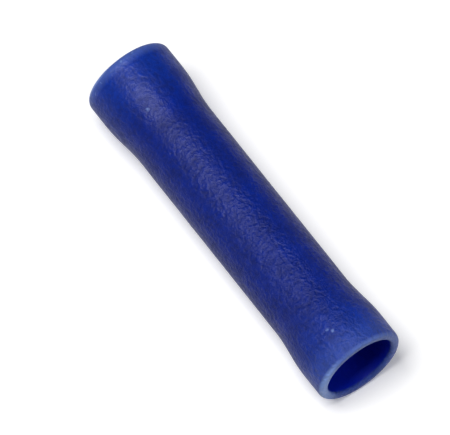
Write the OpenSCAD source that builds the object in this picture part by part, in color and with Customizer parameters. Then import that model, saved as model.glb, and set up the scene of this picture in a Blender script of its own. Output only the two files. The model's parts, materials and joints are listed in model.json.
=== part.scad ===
// Insulated butt splice connector, which joins two stranded wires end to end.
// A flared plastic sleeve holds a short metal crimp barrel with a wire stop rolled into its middle.
// Millimetres. The part stands on its lower rim: the axis is Z, and the origin is the middle of that rim.

/* [Crimp barrel] */
// Bore that takes the bare conductor
wire_bore = 2.3; // [1.2:0.1:6]
// Wall of the barrel
barrel_wall = 0.8; // [0.5:0.05:2]
// Length of the barrel
barrel_length = 14.4; // [8:0.2:30]
// Bevel that leads the strands into each end of the bore
bore_bevel = 0.3; // [0.1:0.05:0.4]
// Break on the barrel's outer end edges
edge_break = 0.15; // [0.05:0.05:0.3]

/* [Wire stop] */
// How far the rolled ridge stands into the bore
stop_height = 0.5; // [0.2:0.05:1]
// Length of the rolled groove along the barrel
stop_length = 2.4; // [1:0.1:5]

/* [Insulation sleeve] */
// Wall of the neck, over the barrel
neck_wall = 0.78; // [0.5:0.02:1.5]
// Gap all round between the barrel and the sleeve
barrel_fit = 0.02; // [0.01:0.01:0.1]

/* [Flared mouths] */
// Bore of each mouth, which takes the wire's own insulation
mouth_bore = 4.8; // [4:0.1:8]
// Wall of each mouth
mouth_wall = 0.63; // [0.5:0.01:1.5]
// Length of the flare, from the barrel's end to the straight mouth
flare_length = 3.4; // [1:0.1:8]
// Length of the straight mouth, up to the rim
mouth_length = 1.9; // [1:0.1:4]
// Rounding of the rim's outer edge, across the wall
rim_round = 0.25; // [0.1:0.05:0.5]
// Rounding of the rim's outer edge, along the mouth
rim_roll = 0.35; // [0.1:0.05:0.9]
// Rounding of the rim's inner edge
rim_lead = 0.22; // [0.1:0.02:0.5]

/* [Hidden] */

// Steps in each curved stretch of an outline, and around a turned form
curve_steps = 12;
turn_steps = 96;
// The most that each rounding of the rim may take: the outer of the wall, the inner of what that leaves
rim_out_share = 0.4;
rim_in_share = 0.8;

bore_r = wire_bore / 2;
barrel_r = bore_r + barrel_wall;
barrel_half = barrel_length / 2;
stop_half = stop_length / 2;

neck_r = barrel_r + barrel_fit;
mouth_r = mouth_bore / 2;
flare_end = barrel_half + flare_length;
sleeve_half = flare_end + mouth_length;
rim_out = min(rim_round, mouth_wall * rim_out_share);
rim_in = min(rim_lead, (mouth_wall - rim_out) * rim_in_share);

// Smooth bend between two [radius, height] points, straight along the axis at both ends
function bend(from, to) = [
    for (i = [0 : curve_steps])
        let (along = i / curve_steps, across = (1 - cos(180 * along)) / 2)
        [from[0] + (to[0] - from[0]) * across, from[1] + (to[1] - from[1]) * along]
];

// Elliptical rounding about a centre, between two angles
function rounding(centre, across, along, from, to) = [
    for (i = [0 : curve_steps])
        let (angle = from + (to - from) * i / curve_steps)
        centre + [across * cos(angle), along * sin(angle)]
];

function reversed(path) = [for (i = [len(path) - 1 : -1 : 0]) path[i]];

// Outline above the middle plane, led on below it by its mirror image
function both_halves(upper) = concat(
    reversed([for (p = upper) if (p[1] > 0) [p[0], -p[1]]]),
    upper
);

// Tube turned about Z from the upper halves of its outer and inner outlines
module turned_tube(outer, inner) {
    translate([0, 0, sleeve_half])
        rotate_extrude($fn = turn_steps)
            polygon(concat(both_halves(outer), reversed(both_halves(inner))));
}

// Moulded sleeve: a neck over the barrel that flares into a round-lipped mouth at each end
module insulation_sleeve() {
    outer = concat(
        bend([neck_r + neck_wall, barrel_half], [mouth_r + mouth_wall, flare_end]),
        rounding([mouth_r + mouth_wall - rim_out, sleeve_half - rim_roll], rim_out, rim_roll, 0, 90)
    );
    inner = concat(
        bend([neck_r, barrel_half], [mouth_r, flare_end]),
        rounding([mouth_r + rim_in, sleeve_half - rim_in], rim_in, rim_in, 180, 90)
    );
    color("#2B3A8C")
        turned_tube(outer, inner);
}

// Tin-plated barrel: the groove rolled round its middle stands inside as the wire stop
module crimp_barrel() {
    outer = concat(
        bend([barrel_r - stop_height, 0], [barrel_r, stop_half]),
        [[barrel_r, barrel_half - edge_break], [barrel_r - edge_break, barrel_half]]
    );
    inner = concat(
        bend([bore_r - stop_height, 0], [bore_r, stop_half]),
        [[bore_r, barrel_half - bore_bevel], [bore_r + bore_bevel, barrel_half]]
    );
    color("#C8C8C2")
        turned_tube(outer, inner);
}

insulation_sleeve();
crimp_barrel();
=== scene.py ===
"""Insulated butt splice connector: a flared blue sleeve over a tin-plated barrel, on a white table.

The connector stands along Z in its own frame. The photograph shows it lying down, so the table is the
upright plane that its two rims touch, and the camera is turned to look down on that plane.
"""

import json
import math

import bmesh
import bpy
from mathutils import Matrix, Vector

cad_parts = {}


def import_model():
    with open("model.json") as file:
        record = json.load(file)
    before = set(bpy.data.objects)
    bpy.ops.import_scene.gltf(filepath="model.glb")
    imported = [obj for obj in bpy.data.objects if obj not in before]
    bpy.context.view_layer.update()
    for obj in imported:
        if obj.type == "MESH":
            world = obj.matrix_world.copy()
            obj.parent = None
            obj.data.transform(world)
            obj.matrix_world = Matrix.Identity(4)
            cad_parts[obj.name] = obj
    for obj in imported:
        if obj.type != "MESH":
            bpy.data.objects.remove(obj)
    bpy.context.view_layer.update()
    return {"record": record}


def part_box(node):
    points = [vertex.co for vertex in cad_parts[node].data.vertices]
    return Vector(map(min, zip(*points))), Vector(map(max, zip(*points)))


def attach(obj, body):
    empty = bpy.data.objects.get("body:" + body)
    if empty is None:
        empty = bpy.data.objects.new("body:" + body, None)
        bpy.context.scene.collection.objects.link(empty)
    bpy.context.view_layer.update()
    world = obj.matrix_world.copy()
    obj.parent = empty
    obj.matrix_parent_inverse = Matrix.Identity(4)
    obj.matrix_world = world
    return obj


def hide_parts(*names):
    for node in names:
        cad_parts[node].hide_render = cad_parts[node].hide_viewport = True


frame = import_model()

MM = 0.001

# Sizes of the connector, read from the frame
mounts = {mount["name"]: mount["dims"] for mount in frame["record"]["mounts"] if mount["dims"]}
sleeve_low, sleeve_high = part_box("insulation_sleeve")
barrel_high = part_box("crimp_barrel")[1]
MIDDLE = (sleeve_low.z + sleeve_high.z) / 2
SLEEVE_HALF = sleeve_high.z - MIDDLE
BARREL_HALF = barrel_high.z - MIDDLE
MOUTH_OUT = sleeve_high.x
MOUTH_IN = mounts["upper_mouth"]["r_mm"] * MM
BARREL_OUT = barrel_high.x
BARREL_IN = mounts["upper_wire_bore"]["r_mm"] * MM
BORE_LENGTH = mounts["upper_wire_bore"]["length_mm"] * MM

# Sizes that the frame doesn't give
BARREL_FIT = 0.02 * MM
NECK_WALL = 0.78 * MM
FLARE_LENGTH = 3.4 * MM
RIM_ROUND = 0.25 * MM
RIM_ROLL = 0.35 * MM
RIM_LEAD = 0.22 * MM
BORE_BEVEL = 0.3 * MM
EDGE_BREAK = 0.15 * MM
STOP_HEIGHT = 0.5 * MM

NECK_IN = BARREL_OUT + BARREL_FIT
NECK_OUT = NECK_IN + NECK_WALL
FLARE_END = BARREL_HALF + FLARE_LENGTH
STOP_HALF = BARREL_HALF - BORE_BEVEL - BORE_LENGTH

# Steps of the meshes, along an outline and round the axis
FINE = 0.1 * MM
COARSE = 0.3 * MM
ROUND_STEPS = 10
FEWEST_BEND_STEPS = 8
SLEEVE_STEPS = 256
BARREL_STEPS = 128

# Slight unevenness of the moulded sleeve
WAVE_LENGTH = 2.5 * MM
WAVE_DEPTH = 0.03 * MM

# The sleeve's grain and its blotches. Real tool grain is finer, and is drawn coarser so that it shows
GRAIN = 0.27 * MM
GRAIN_DEPTH = 0.15 * MM
BLOTCH = 1.1 * MM

# Blues of the sleeve: over the metal, at the hollow mouths, inside them as painted bounce light, and pale
# with wear and painted light
OVER_METAL = "#05217F"
AT_MOUTHS = "#0D3196"
PAINTED_BOUNCE_IN_MOUTHS = "#0120B6"
WORN_AND_LIT = "#90B0F6"

# The wall inside a mouth begins between these, outside the mouth's bore and below its rim
INSIDE_FULL = 0.1 * MM
INSIDE_NONE = 0.15 * MM
BELOW_RIM_NONE = 0.15 * MM
BELOW_RIM_FULL = 0.3 * MM

# Wear and painted light, as lengths back from a rim: the pale lip, and the fading of the upper and the lower
# mouth
LIP_WEAR = 0.38 * MM
UPPER_FADE_START = 2.2 * MM
UPPER_FADE_END = 0.3 * MM
LOWER_FADE = 0.8 * MM

# The side on which the lips are painted palest: painted light on the side that the key lamp lights
LIT_SIDE = (0.99, -0.12, 0.0)

# Pale flecks on the skin: how pale, and where in mm from the connector's middle
FLECKS = [
    (0.4, (0.98, -2.86, 10.31)),
    (0.42, (0.79, -2.93, 10.59)),
    (0.36, (1.13, -2.62, -8.65)),
    (0.36, (-0.32, -3.0, -12.27)),
    (0.42, (0.63, -2.94, -12.19)),
    (0.42, (2.24, -1.99, -12.12)),
    (0.42, (2.72, -1.24, -11.98)),
]
FLECK_RADIUS = 0.13 * MM
FLECK_CORE = 0.02 * MM
FLECK_RAGGED = 0.1 * MM

# Spacing of the barrel's drawing lines, how far they are drawn out, their depth, and its clouds
TUBE_LINES = 0.12 * MM
LINE_STRETCH = 0.05
LINE_DEPTH = 0.004 * MM
TIN_CLOUDS = 0.9 * MM

# How the photograph was taken
IMAGE_WIDTH = 450
PIXELS_PER_MM = 16.13
CAMERA_DISTANCE = 750 * MM
CAMERA_TILT = math.radians(63.1)
CAMERA_TURN = math.radians(35.4)
AIM_RIGHT = -18.1 / PIXELS_PER_MM * MM
AIM_UP = 2.79 / PIXELS_PER_MM * MM
SENSOR = 36.0

TABLE_UP = Vector((0, -1, 0))
AXIS = Vector((0, 0, 1))
SIDE = Vector((1, 0, 0))

TABLE_HALF = 90 * MM
# What the white table gives the camera on top of its own colour, and the light of the surroundings
TABLE_LIFT = 0.235
SKY_LIGHT = 0.02

# Soft lamps: the direction that each stands in, its width in metres and its watts
LAMP_DISTANCE = 0.5
LAMPS = [
    ("Key softbox", TABLE_UP + 0.31 * SIDE - 0.06 * AXIS, 0.27, 2.36),
    ("Front softbox", AXIS + 0.6 * TABLE_UP - 0.6 * SIDE, 0.3, 0.66),
    ("Back softbox", -TABLE_UP - 0.3 * SIDE, 0.4, 1.5),
]


def colour(hex_code):
    """Linear RGBA of an sRGB hex colour."""
    channels = [int(hex_code[i:i + 2], 16) / 255 for i in (1, 3, 5)]
    linear = [c / 12.92 if c <= 0.04045 else ((c + 0.055) / 1.055) ** 2.4 for c in channels]
    return (*linear, 1.0)


def add(tree, kind, inputs=None, **settings):
    """Adds a node with its settings; an input is a value, or an output socket to link."""
    node = tree.nodes.new(kind)
    for name, value in settings.items():
        setattr(node, name, value)
    for key, value in (inputs or {}).items():
        if isinstance(value, bpy.types.NodeSocket):
            tree.links.new(value, node.inputs[key])
        else:
            node.inputs[key].default_value = value
    return node


def new_material(name):
    """An empty node material and its tree."""
    material = bpy.data.materials.new(name)
    material.use_nodes = True
    material.node_tree.nodes.clear()
    return material, material.node_tree


# Outlines, as (radius, height above the middle) points


def straight(start, end, spacing):
    """Points from start up to, but without, end."""
    steps = max(1, round(math.dist(start, end) / spacing))
    return [
        (start[0] + (end[0] - start[0]) * i / steps, start[1] + (end[1] - start[1]) * i / steps)
        for i in range(steps)
    ]


def bend(start, end, spacing):
    """Smooth bend, straight along the axis at both ends, without its last point."""
    steps = max(FEWEST_BEND_STEPS, round(math.dist(start, end) / spacing))
    return [
        (
            start[0] + (end[0] - start[0]) * (1 - math.cos(math.pi * i / steps)) / 2,
            start[1] + (end[1] - start[1]) * i / steps,
        )
        for i in range(steps)
    ]


def rounding(centre, across, along, start, end):
    """Elliptical rounding between two angles in degrees."""
    angles = [math.radians(start + (end - start) * i / ROUND_STEPS) for i in range(ROUND_STEPS + 1)]
    return [(centre[0] + across * math.cos(a), centre[1] + along * math.sin(a)) for a in angles]


def both_halves(upper):
    """An outline above the middle plane, led on below it by its mirror image."""
    return [(r, -z) for r, z in reversed(upper) if z > 0] + upper


def closed(outer, inner):
    """The closed outline of a tube from the upper halves of its outside and inside."""
    return both_halves(outer) + both_halves(inner)[::-1]


def sleeve_outline():
    """Neck over the barrel, a flare and a round-lipped mouth at each end."""
    lip_out = (MOUTH_OUT - RIM_ROUND, SLEEVE_HALF - RIM_ROLL)
    lip_in = (MOUTH_IN + RIM_LEAD, SLEEVE_HALF - RIM_LEAD)
    outer = (
        straight((NECK_OUT, 0), (NECK_OUT, BARREL_HALF), FINE)
        + bend((NECK_OUT, BARREL_HALF), (MOUTH_OUT, FLARE_END), FINE)
        + straight((MOUTH_OUT, FLARE_END), (MOUTH_OUT, lip_out[1]), FINE)
        + rounding(lip_out, RIM_ROUND, RIM_ROLL, 0, 90)
    )
    inner = (
        straight((NECK_IN, 0), (NECK_IN, BARREL_HALF), COARSE)
        + bend((NECK_IN, BARREL_HALF), (MOUTH_IN, FLARE_END), COARSE)
        + straight((MOUTH_IN, FLARE_END), (MOUTH_IN, lip_in[1]), COARSE)
        + rounding(lip_in, RIM_LEAD, RIM_LEAD, 180, 90)
    )
    return closed(outer, inner)


def barrel_outline():
    """Plain tube with bevelled ends and a groove rolled round its middle as the wire stop."""
    outer = (
        bend((BARREL_OUT - STOP_HEIGHT, 0), (BARREL_OUT, STOP_HALF), FINE)
        + straight((BARREL_OUT, STOP_HALF), (BARREL_OUT, BARREL_HALF - EDGE_BREAK), COARSE)
        + straight((BARREL_OUT, BARREL_HALF - EDGE_BREAK), (BARREL_OUT - EDGE_BREAK, BARREL_HALF), FINE)
        + [(BARREL_OUT - EDGE_BREAK, BARREL_HALF)]
    )
    inner = (
        bend((BARREL_IN - STOP_HEIGHT, 0), (BARREL_IN, STOP_HALF), FINE)
        + straight((BARREL_IN, STOP_HALF), (BARREL_IN, BARREL_HALF - BORE_BEVEL), COARSE)
        + straight((BARREL_IN, BARREL_HALF - BORE_BEVEL), (BARREL_IN + BORE_BEVEL, BARREL_HALF), FINE)
        + [(BARREL_IN + BORE_BEVEL, BARREL_HALF)]
    )
    return closed(outer, inner)


def turning_tree():
    """Geometry nodes that sweep a closed outline round Z and give the skin a slight unevenness."""
    tree = bpy.data.node_groups.new("Turned piece", "GeometryNodeTree")
    inputs = [
        ("Outline", "NodeSocketGeometry"),
        ("Steps Around", "NodeSocketInt"),
        ("Turning Radius", "NodeSocketFloat"),
        ("Wave Length", "NodeSocketFloat"),
        ("Wave Depth", "NodeSocketFloat"),
        ("Seed", "NodeSocketFloat"),
        ("Material", "NodeSocketMaterial"),
    ]
    for name, kind in inputs:
        tree.interface.new_socket(name, in_out="INPUT", socket_type=kind)
    tree.interface.new_socket("Piece", in_out="OUTPUT", socket_type="NodeSocketGeometry")
    given = add(tree, "NodeGroupInput").outputs

    # The outline lies in XZ; a sweep takes its profile in XY, measured from the circle it follows
    profile = add(tree, "GeometryNodeMeshToCurve", {"Mesh": given["Outline"]})
    offset = add(tree, "ShaderNodeCombineXYZ", {"X": given["Turning Radius"]})
    inward = add(tree, "ShaderNodeVectorMath", {0: (0, 0, 0), 1: offset.outputs[0]}, operation="SUBTRACT")
    placed = add(
        tree,
        "GeometryNodeTransform",
        {
            "Geometry": profile.outputs[0],
            "Translation": inward.outputs[0],
            "Rotation": (math.pi / 2, 0, 0),
        },
    )
    circle = add(
        tree,
        "GeometryNodeCurvePrimitiveCircle",
        {"Resolution": given["Steps Around"], "Radius": given["Turning Radius"]},
    )
    upright = add(tree, "GeometryNodeSetCurveNormal", {"Curve": circle.outputs[0]}, mode="Z_UP")
    swept = add(
        tree,
        "GeometryNodeCurveToMesh",
        {"Curve": upright.outputs[0], "Profile Curve": placed.outputs[0]},
    )
    smooth = add(tree, "GeometryNodeSetShadeSmooth", {"Geometry": swept.outputs[0]})

    # Unevenness of the skin, along its normals
    scale = add(tree, "ShaderNodeMath", {0: 1.0, 1: given["Wave Length"]}, operation="DIVIDE")
    noise = add(
        tree,
        "ShaderNodeTexNoise",
        {"W": given["Seed"], "Scale": scale.outputs[0], "Detail": 2.0},
        noise_dimensions="4D",
    )
    centred = add(tree, "ShaderNodeMath", {0: noise.outputs[0], 1: 0.5}, operation="SUBTRACT")
    depth = add(
        tree,
        "ShaderNodeMath",
        {0: centred.outputs[0], 1: given["Wave Depth"]},
        operation="MULTIPLY",
    )
    normal = add(tree, "GeometryNodeInputNormal")
    move = add(
        tree,
        "ShaderNodeVectorMath",
        {0: normal.outputs[0], "Scale": depth.outputs[0]},
        operation="SCALE",
    )
    uneven = add(
        tree,
        "GeometryNodeSetPosition",
        {"Geometry": smooth.outputs[0], "Offset": move.outputs[0]},
    )
    real = add(tree, "GeometryNodeRealizeInstances", {0: uneven.outputs[0]})
    dressed = add(
        tree,
        "GeometryNodeSetMaterial",
        {"Geometry": real.outputs[0], "Material": given["Material"]},
    )
    add(tree, "NodeGroupOutput", {"Piece": dressed.outputs[0]})
    return tree


def turned(name, tree, outline, **inputs):
    """A piece turned from an outline by the tree, as a plain closed mesh."""
    points = [(radius, 0, MIDDLE + height) for radius, height in outline]
    edges = [(i, (i + 1) % len(points)) for i in range(len(points))]
    mesh = bpy.data.meshes.new(name + "_outline")
    mesh.from_pydata(points, edges, [])
    piece = bpy.data.objects.new(name, mesh)
    bpy.context.scene.collection.objects.link(piece)
    modifier = piece.modifiers.new("Turning", "NODES")
    modifier.node_group = tree
    for socket in tree.interface.items_tree:
        key = socket.name.lower().replace(" ", "_")
        if socket.in_out == "INPUT" and key in inputs:
            modifier[socket.identifier] = inputs[key]
    evaluated = piece.evaluated_get(bpy.context.evaluated_depsgraph_get())
    piece.data = bpy.data.meshes.new_from_object(evaluated)
    piece.modifiers.clear()
    skin = bmesh.new()
    skin.from_mesh(piece.data)
    bmesh.ops.recalc_face_normals(skin, faces=skin.faces)
    skin.to_mesh(piece.data)
    skin.free()
    return piece


def inside_mouths(tree, axes, from_middle):
    """1 on the walls inside the mouths, which are smooth, clean and unworn and painted a deeper blue as
    painted bounce light, and 0 elsewhere.
    """
    across = add(tree, "ShaderNodeCombineXYZ", {"X": axes["X"], "Y": axes["Y"]})
    radius = add(tree, "ShaderNodeVectorMath", {0: across.outputs[0]}, operation="LENGTH")
    within = add(
        tree,
        "ShaderNodeMapRange",
        {
            "Value": radius.outputs["Value"],
            "From Min": MOUTH_IN + INSIDE_NONE,
            "From Max": MOUTH_IN + INSIDE_FULL,
        },
    )
    below_lip = add(
        tree,
        "ShaderNodeMapRange",
        {
            "Value": from_middle,
            "From Min": SLEEVE_HALF - BELOW_RIM_NONE,
            "From Max": SLEEVE_HALF - BELOW_RIM_FULL,
        },
    )
    inside = add(
        tree,
        "ShaderNodeMath",
        {0: within.outputs[0], 1: below_lip.outputs[0]},
        operation="MULTIPLY",
    )
    return inside.outputs[0]


def worn_and_lit_places(tree, place, axes, above, from_middle, grain):
    """How pale the skin is painted: wear at the lips, palest on the lit side as painted light and least next
    to the table as painted shade, and in flecks.
    """
    lip = add(
        tree,
        "ShaderNodeMapRange",
        {"Value": from_middle, "From Min": SLEEVE_HALF - LIP_WEAR, "From Max": SLEEVE_HALF},
        interpolation_type="SMOOTHSTEP",
    )
    # Painted light and shade on the lips: palest on the side that the key lamp lights, least pale next to the
    # table, where shade falls
    toward = add(tree, "ShaderNodeVectorMath", {0: place, 1: LIT_SIDE}, operation="DOT_PRODUCT")
    lit_side_share = add(
        tree,
        "ShaderNodeMapRange",
        {"Value": toward.outputs["Value"], "From Min": 0.3 * MOUTH_OUT, "From Max": MOUTH_OUT},
        interpolation_type="SMOOTHSTEP",
    )
    table_shade = add(
        tree,
        "ShaderNodeMapRange",
        {
            "Value": axes["Y"],
            "From Min": -0.2 * MOUTH_OUT,
            "From Max": MOUTH_OUT,
            "To Min": 0.34,
            "To Max": 0.08,
        },
    )
    side_light_and_table_shade = add(
        tree,
        "ShaderNodeMath",
        {0: lit_side_share.outputs[0], 1: table_shade.outputs[0]},
        operation="MAXIMUM",
    )
    worn_and_lit = add(tree, "ShaderNodeMath", {0: lip.outputs[0], 1: side_light_and_table_shade.outputs[0]}, operation="MULTIPLY")

    # Each mouth fades paler towards its rim; the upper mouth's fade is partly a painted sheen
    upper_fade_and_sheen = add(
        tree,
        "ShaderNodeMapRange",
        {
            "Value": above,
            "From Min": SLEEVE_HALF - UPPER_FADE_START,
            "From Max": SLEEVE_HALF - UPPER_FADE_END,
            "To Max": 0.075,
        },
        interpolation_type="SMOOTHSTEP",
    )
    lower_fade = add(
        tree,
        "ShaderNodeMapRange",
        {
            "Value": above,
            "From Min": LOWER_FADE - SLEEVE_HALF,
            "From Max": -SLEEVE_HALF,
            "To Max": 0.3,
        },
    )
    for fade in (upper_fade_and_sheen, lower_fade):
        worn_and_lit = add(tree, "ShaderNodeMath", {0: worn_and_lit.outputs[0], 1: fade.outputs[0]}, operation="MAXIMUM")

    # Flecks, with an edge that the grain makes ragged
    ragged = add(
        tree,
        "ShaderNodeMapRange",
        {
            "Value": grain,
            "From Min": 0.3,
            "From Max": 0.7,
            "To Min": -FLECK_RAGGED,
            "To Max": FLECK_RAGGED,
        },
    )
    for paleness, fleck in FLECKS:
        spot = Vector(fleck) * MM + MIDDLE * AXIS
        away = add(tree, "ShaderNodeVectorMath", {0: place, 1: spot}, operation="DISTANCE")
        edge = add(
            tree,
            "ShaderNodeMath",
            {0: away.outputs["Value"], 1: ragged.outputs[0]},
            operation="ADD",
        )
        scuff = add(
            tree,
            "ShaderNodeMapRange",
            {
                "Value": edge.outputs[0],
                "From Min": FLECK_RADIUS,
                "From Max": FLECK_CORE,
                "To Max": paleness,
            },
        )
        worn_and_lit = add(tree, "ShaderNodeMath", {0: worn_and_lit.outputs[0], 1: scuff.outputs[0]}, operation="MAXIMUM")
    return worn_and_lit.outputs[0]


def blue_pvc():
    """Soft PVC, moulded in a matt tool: a dull broad sheen, broken up by a fine pebbled grain."""
    material, tree = new_material("Moulded matt PVC")
    place = add(tree, "ShaderNodeTexCoord").outputs["Object"]
    axes = add(tree, "ShaderNodeSeparateXYZ", {0: place}).outputs
    above = add(tree, "ShaderNodeMath", {0: axes["Z"], 1: MIDDLE}, operation="SUBTRACT").outputs[0]
    from_middle = add(tree, "ShaderNodeMath", {0: above}, operation="ABSOLUTE").outputs[0]
    inside = inside_mouths(tree, axes, from_middle)

    # The grain, deepest from where the upper mouth flares and nearly gone inside the mouths
    grain = add(
        tree,
        "ShaderNodeTexNoise",
        {"Vector": place, "Scale": 1 / GRAIN, "Detail": 3.0, "Roughness": 0.6},
    ).outputs[0]
    depth = add(
        tree,
        "ShaderNodeMapRange",
        {
            "Value": above,
            "From Min": -SLEEVE_HALF,
            "From Max": BARREL_HALF,
            "To Min": 0.32,
            "To Max": 1.0,
        },
    )
    skin = add(tree, "ShaderNodeMix", {0: inside, 2: depth.outputs[0], 3: 0.2})
    relief = add(
        tree,
        "ShaderNodeBump",
        {"Strength": skin.outputs[0], "Distance": GRAIN_DEPTH, "Height": grain},
    )

    # Its tops are rubbed a little shinier, in patches
    blotch = add(tree, "ShaderNodeTexNoise", {"Vector": place, "Scale": 1 / BLOTCH, "Detail": 1.0})
    uneven = add(tree, "ShaderNodeMix", {0: 0.35, 2: grain, 3: blotch.outputs[0]}).outputs[0]
    dull = add(
        tree,
        "ShaderNodeMapRange",
        {"Value": uneven, "From Min": 0.35, "From Max": 0.65, "To Min": 0.52, "To Max": 0.36},
    )

    # Over the metal the blue is deepest, and the hollow mouths are lighter
    mouth = add(
        tree,
        "ShaderNodeMapRange",
        {"Value": from_middle, "From Min": BARREL_HALF, "From Max": SLEEVE_HALF},
        interpolation_type="SMOOTHSTEP",
    )
    blue = add(
        tree,
        "ShaderNodeMix",
        {0: mouth.outputs[0], 6: colour(OVER_METAL), 7: colour(AT_MOUTHS)},
        data_type="RGBA",
    )
    shade = add(
        tree,
        "ShaderNodeMapRange",
        {"Value": uneven, "From Min": 0.35, "From Max": 0.65, "To Min": 0.72, "To Max": 1.28},
    )
    mottled = add(
        tree,
        "ShaderNodeVectorMath",
        {0: blue.outputs[2], "Scale": shade.outputs[0]},
        operation="SCALE",
    )
    worn_and_lit = worn_and_lit_places(tree, place, axes, above, from_middle, grain)
    # The pale colour, part wear and part painted light and shade
    pale = add(
        tree,
        "ShaderNodeMix",
        {0: worn_and_lit, 6: mottled.outputs[0], 7: colour(WORN_AND_LIT)},
        data_type="RGBA",
    )
    # Inside the mouths the blue is painted deeper and purer: painted bounce light off the blue walls and
    # light through them
    blues = add(
        tree,
        "ShaderNodeMix",
        {0: inside, 6: pale.outputs[2], 7: colour(PAINTED_BOUNCE_IN_MOUTHS)},
        data_type="RGBA",
    )
    surface = add(
        tree,
        "ShaderNodeBsdfPrincipled",
        {
            "Base Color": blues.outputs[2],
            "Roughness": dull.outputs[0],
            "IOR": 1.5,
            "Specular IOR Level": 0.28,
            "Normal": relief.outputs[0],
        },
    )
    add(tree, "ShaderNodeOutputMaterial", {"Surface": surface.outputs[0]})
    return material


def tin_plate():
    """Tin plate over drawn copper tube: soft silvery grey, with fine lines along the tube."""
    material, tree = new_material("Tin plate on drawn copper")
    place = add(tree, "ShaderNodeTexCoord").outputs["Object"]
    along = add(tree, "ShaderNodeMapping", {"Vector": place, "Scale": (1, 1, LINE_STRETCH)})
    lines = add(
        tree,
        "ShaderNodeTexNoise",
        {"Vector": along.outputs[0], "Scale": 1 / TUBE_LINES, "Detail": 2.0},
    )
    cloud = add(tree, "ShaderNodeTexNoise", {"Vector": place, "Scale": 1 / TIN_CLOUDS, "Detail": 3.0})
    tone = add(
        tree,
        "ShaderNodeMix",
        {0: cloud.outputs[0], 6: colour("#D2D0C8"), 7: colour("#BDBBB4")},
        data_type="RGBA",
    )
    dull = add(
        tree,
        "ShaderNodeMapRange",
        {"Value": lines.outputs[0], "To Min": 0.26, "To Max": 0.42},
    )
    relief = add(tree, "ShaderNodeBump", {"Distance": LINE_DEPTH, "Height": lines.outputs[0]})
    surface = add(
        tree,
        "ShaderNodeBsdfPrincipled",
        {
            "Base Color": tone.outputs[2],
            "Metallic": 1.0,
            "Roughness": dull.outputs[0],
            "Normal": relief.outputs[0],
        },
    )
    add(tree, "ShaderNodeOutputMaterial", {"Surface": surface.outputs[0]})
    return material


def white_table():
    """Matt white board. It is clear from below and to lamps, so that the back of the part can be seen."""
    material, tree = new_material("Matt white board")
    path = add(tree, "ShaderNodeLightPath").outputs

    # The camera, gloss and glass see it white; less of its light falls back on the part
    seen = path["Is Camera Ray"]
    for ray in ("Is Glossy Ray", "Is Transmission Ray"):
        seen = add(tree, "ShaderNodeMath", {0: seen, 1: path[ray]}, operation="MAXIMUM").outputs[0]
    white = add(
        tree,
        "ShaderNodeMix",
        {0: seen, 6: colour("#A4A4A4"), 7: colour("#F9F9F9")},
        data_type="RGBA",
    )
    board = add(tree, "ShaderNodeBsdfDiffuse", {"Color": white.outputs[2]})
    lift = add(tree, "ShaderNodeMath", {0: path["Is Camera Ray"], 1: TABLE_LIFT}, operation="MULTIPLY")
    glow = add(tree, "ShaderNodeEmission", {"Strength": lift.outputs[0]})
    lit = add(tree, "ShaderNodeAddShader", {0: board.outputs[0], 1: glow.outputs[0]})
    below = add(tree, "ShaderNodeNewGeometry").outputs["Backfacing"]
    gone = add(tree, "ShaderNodeMath", {0: below, 1: path["Is Shadow Ray"]}, operation="MAXIMUM")
    clear = add(tree, "ShaderNodeBsdfTransparent")
    surface = add(
        tree,
        "ShaderNodeMixShader",
        {0: gone.outputs[0], 1: lit.outputs[0], 2: clear.outputs[0]},
    )
    add(tree, "ShaderNodeOutputMaterial", {"Surface": surface.outputs[0]})
    return material


def table(material):
    """The plane that both rims of the lying connector touch."""
    corners = [(-1, -1), (1, -1), (1, 1), (-1, 1)]
    mesh = bpy.data.meshes.new("table")
    mesh.from_pydata(
        [(x * TABLE_HALF, sleeve_high.y, MIDDLE + z * TABLE_HALF) for x, z in corners],
        [],
        [(0, 1, 2, 3)],
    )
    mesh.materials.append(material)
    board = bpy.data.objects.new("table", mesh)
    bpy.context.scene.collection.objects.link(board)


def world():
    """Faint even light all round, which the camera sees as a pale backdrop."""
    scene_world = bpy.data.worlds.new("Studio")
    bpy.context.scene.world = scene_world
    scene_world.use_nodes = True
    tree = scene_world.node_tree
    tree.nodes.clear()
    path = add(tree, "ShaderNodeLightPath").outputs
    strength = add(
        tree,
        "ShaderNodeMapRange",
        {"Value": path["Is Camera Ray"], "To Min": SKY_LIGHT, "To Max": 1.0},
    )
    sky = add(tree, "ShaderNodeBackground", {"Strength": strength.outputs[0]})
    add(tree, "ShaderNodeOutputWorld", {"Surface": sky.outputs[0]})


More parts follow.
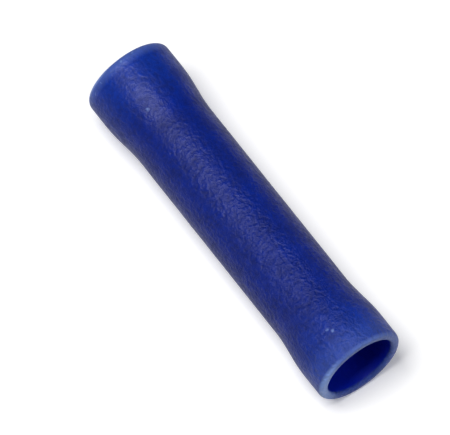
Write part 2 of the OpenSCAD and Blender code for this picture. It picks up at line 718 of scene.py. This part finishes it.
def softbox(name, direction, size, watts):
    """A square soft lamp that faces the connector's middle."""
    lamp = bpy.data.lights.new(name, "AREA")
    lamp.shape = "SQUARE"
    lamp.size = size
    lamp.energy = watts
    place = bpy.data.objects.new(name, lamp)
    place.location = Vector((0, 0, MIDDLE)) + direction.normalized() * LAMP_DISTANCE
    place.rotation_mode = "QUATERNION"
    place.rotation_quaternion = (-direction).to_track_quat("-Z", "Y")
    bpy.context.scene.collection.objects.link(place)


def camera():
    """Looks down on the table as the photograph does, level with the table's edge."""
    back = TABLE_UP * math.sin(CAMERA_TILT) + math.cos(CAMERA_TILT) * (
        AXIS * math.cos(CAMERA_TURN) + SIDE * math.sin(CAMERA_TURN)
    )
    right = TABLE_UP.cross(back).normalized()
    up = back.cross(right)
    lens = bpy.data.cameras.new("Camera")
    lens.sensor_width = SENSOR
    lens.lens = SENSOR * PIXELS_PER_MM / MM * CAMERA_DISTANCE / IMAGE_WIDTH
    eye = bpy.data.objects.new("Camera", lens)
    spot = Vector((0, 0, MIDDLE)) + back * CAMERA_DISTANCE + right * AIM_RIGHT + up * AIM_UP
    eye.matrix_world = Matrix.Translation(spot) @ Matrix((right, up, back)).transposed().to_4x4()
    bpy.context.scene.collection.objects.link(eye)
    bpy.context.scene.camera = eye


turning = turning_tree()
sleeve = turned(
    "sleeve",
    turning,
    sleeve_outline(),
    steps_around=SLEEVE_STEPS,
    turning_radius=NECK_OUT,
    wave_length=WAVE_LENGTH,
    wave_depth=WAVE_DEPTH,
    seed=3.0,
    material=blue_pvc(),
)
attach(sleeve, "root")
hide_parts("insulation_sleeve")

# Drawn tube is even, so the barrel has no waves
barrel = turned(
    "barrel",
    turning,
    barrel_outline(),
    steps_around=BARREL_STEPS,
    turning_radius=BARREL_OUT,
    wave_length=WAVE_LENGTH,
    wave_depth=0.0,
    seed=1.0,
    material=tin_plate(),
)
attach(barrel, "root")
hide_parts("crimp_barrel")

table(white_table())
world()
for lamp_name, stands, width, power in LAMPS:
    softbox(lamp_name, stands, width, power)
camera()

bpy.context.scene.view_settings.view_transform = "Standard"
